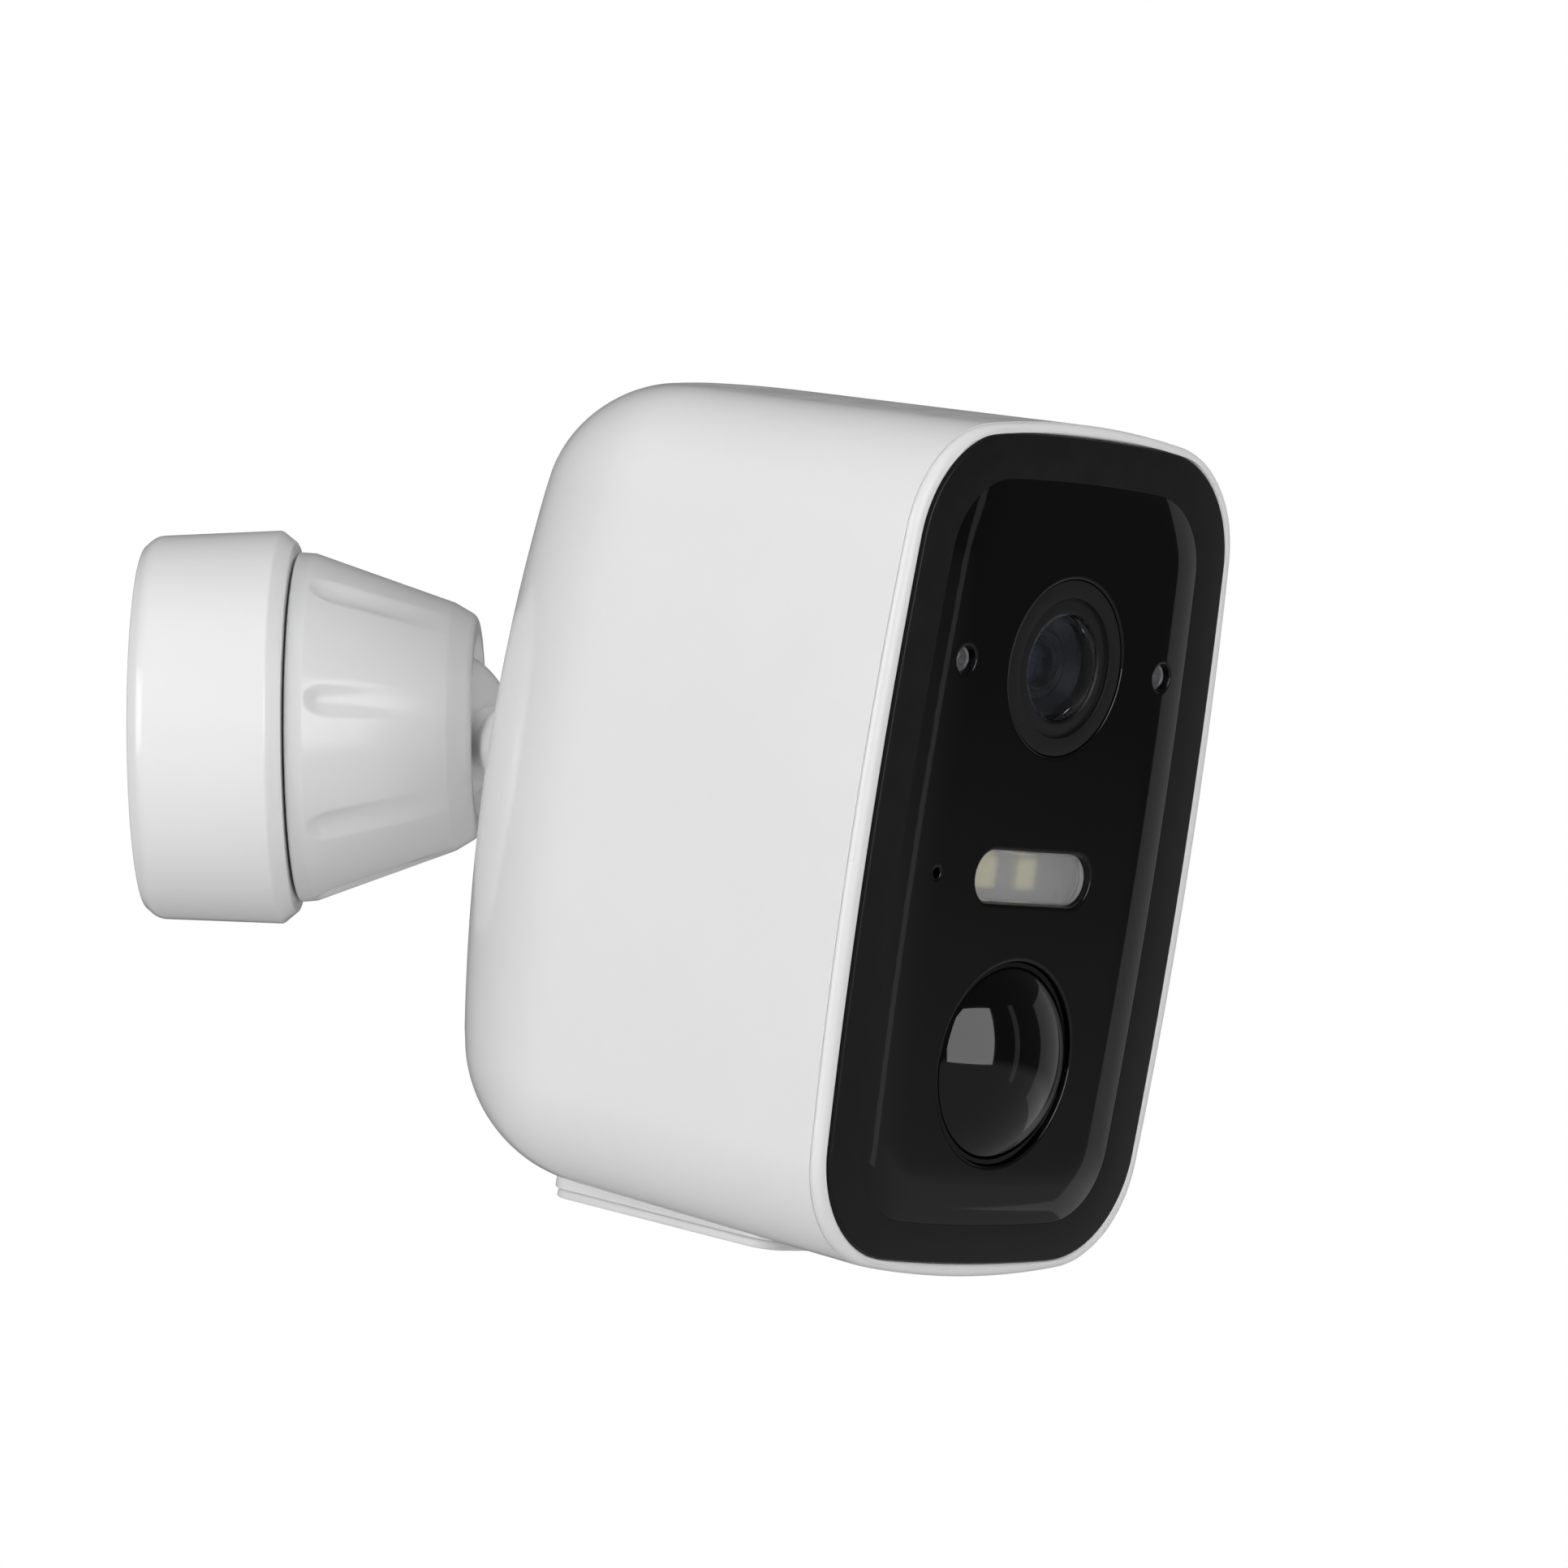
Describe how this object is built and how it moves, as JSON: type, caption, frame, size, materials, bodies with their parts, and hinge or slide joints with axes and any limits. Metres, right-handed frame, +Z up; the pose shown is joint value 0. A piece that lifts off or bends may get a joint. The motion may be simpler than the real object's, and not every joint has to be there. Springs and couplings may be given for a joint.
{
  "type": "security camera",
  "caption": "Battery outdoor security camera with a black glossy front, motion sensor dome and spotlight, on a short ball-jointed wall bracket.",
  "frame": {"origin": "centre of the bracket's back face, where it meets the wall", "axes": "-Y straight out of the wall along the bracket's axis, +Z up, +X to the right as seen from in front of the wall"},
  "size_m": [0.1032, 0.1261, 0.101],
  "materials": {
    "white_shell": "glossy white moulding",
    "black_satin": "satin black",
    "black_gloss": "polished black",
    "dark_plastic": "matte black",
    "lens_glass": "coated lens",
    "clear_lens": "clear and frosted polycarbonate",
    "lamp_chip": "yellow phosphor",
    "circuit_board": "green solder mask",
    "metal_can": "nickel plate",
    "steel": "zinc plate",
    "brass_insert": "turned brass",
    "copper_strip": "copper foil on film",
    "cell_can": "shrink-wrapped cell",
    "black_rubber": "soft silicone",
    "white_rubber": "soft white silicone"
  },
  "bodies": {
    "bracket": {"wall_plate": "white_shell", "bracket_base": "white_shell"},
    "nut": {"clamp_nut": "white_shell"},
    "ring": {"pressure_ring": "dark_plastic"},
    "stud": {"ball_stud": "white_shell", "stud_screw": "steel"},
    "head": {"mount_insert": "brass_insert", "housing_shell": "white_shell", "front_bezel": "white_shell", "front_frame": "black_satin", "front_window": "black_gloss", "seal_gasket": "black_rubber", "inner_frame": "dark_plastic", "case_screws": "steel", "lens_trim_ring": "black_satin", "lens_barrel": "dark_plastic", "front_lens": "lens_glass", "inner_lens": "lens_glass", "lens_holder": "dark_plastic", "image_sensor": "circuit_board", "ir_leds": "clear_lens", "spotlight_lens": "clear_lens", "spotlight_leds": "lamp_chip", "pir_lens": "black_gloss", "pir_sensor": "metal_can", "microphone": "metal_can", "front_board": "circuit_board", "main_board": "circuit_board", "io_board": "circuit_board", "antenna": "copper_strip", "battery_cells": "cell_can", "battery_tray": "dark_plastic", "speaker": "dark_plastic", "usb_port": "metal_can", "card_socket": "metal_can"},
    "cover": {"port_cover": "white_rubber"},
    "reset": {"reset_button": "dark_plastic"},
    "power": {"power_button": "dark_plastic"},
    "card": {"memory_card": "dark_plastic"}
  },
  "joints": [
    {"name": "nut_turn", "type": "hinge", "parent": "bracket", "child": "nut", "pos_m": [0, -0.0334, 0], "axis": [0, -1, 0], "range_deg": [0, 180]},
    {"name": "ball_swivel", "type": "hinge", "parent": "bracket", "child": "ring", "pos_m": [0, -0.0334, 0], "axis": [0, -1, 0], "range_deg": [-180, 180]},
    {"name": "ball_tilt", "type": "hinge", "parent": "ring", "child": "stud", "pos_m": [0, -0.0334, 0], "axis": [0.3119, 0, -0.9501], "range_deg": [-80, 2]},
    {"name": "head_roll", "type": "hinge", "parent": "stud", "child": "head", "pos_m": [0, -0.0334, 0], "axis": [-0.597, -0.778, -0.1959], "range_deg": [-180, 180]},
    {"name": "cover_hinge", "type": "hinge", "parent": "head", "child": "cover", "pos_m": [-0.03729, -0.082, -0.06039], "axis": [-0.7934, 0.6088, 0], "range_deg": [0, 90]},
    {"name": "reset_press", "type": "slide", "parent": "head", "child": "reset", "axis": [-0.1193, -0.1555, 0.9806], "range_m": [0, 0.0005], "stiffness_N_per_m": 200},
    {"name": "power_press", "type": "slide", "parent": "head", "child": "power", "axis": [-0.1193, -0.1555, 0.9806], "range_m": [0, 0.0005], "stiffness_N_per_m": 200},
    {"name": "card_press", "type": "slide", "parent": "head", "child": "card", "axis": [-0.1193, -0.1555, 0.9806], "range_m": [0, 0.0008], "stiffness_N_per_m": 200}
  ]
}
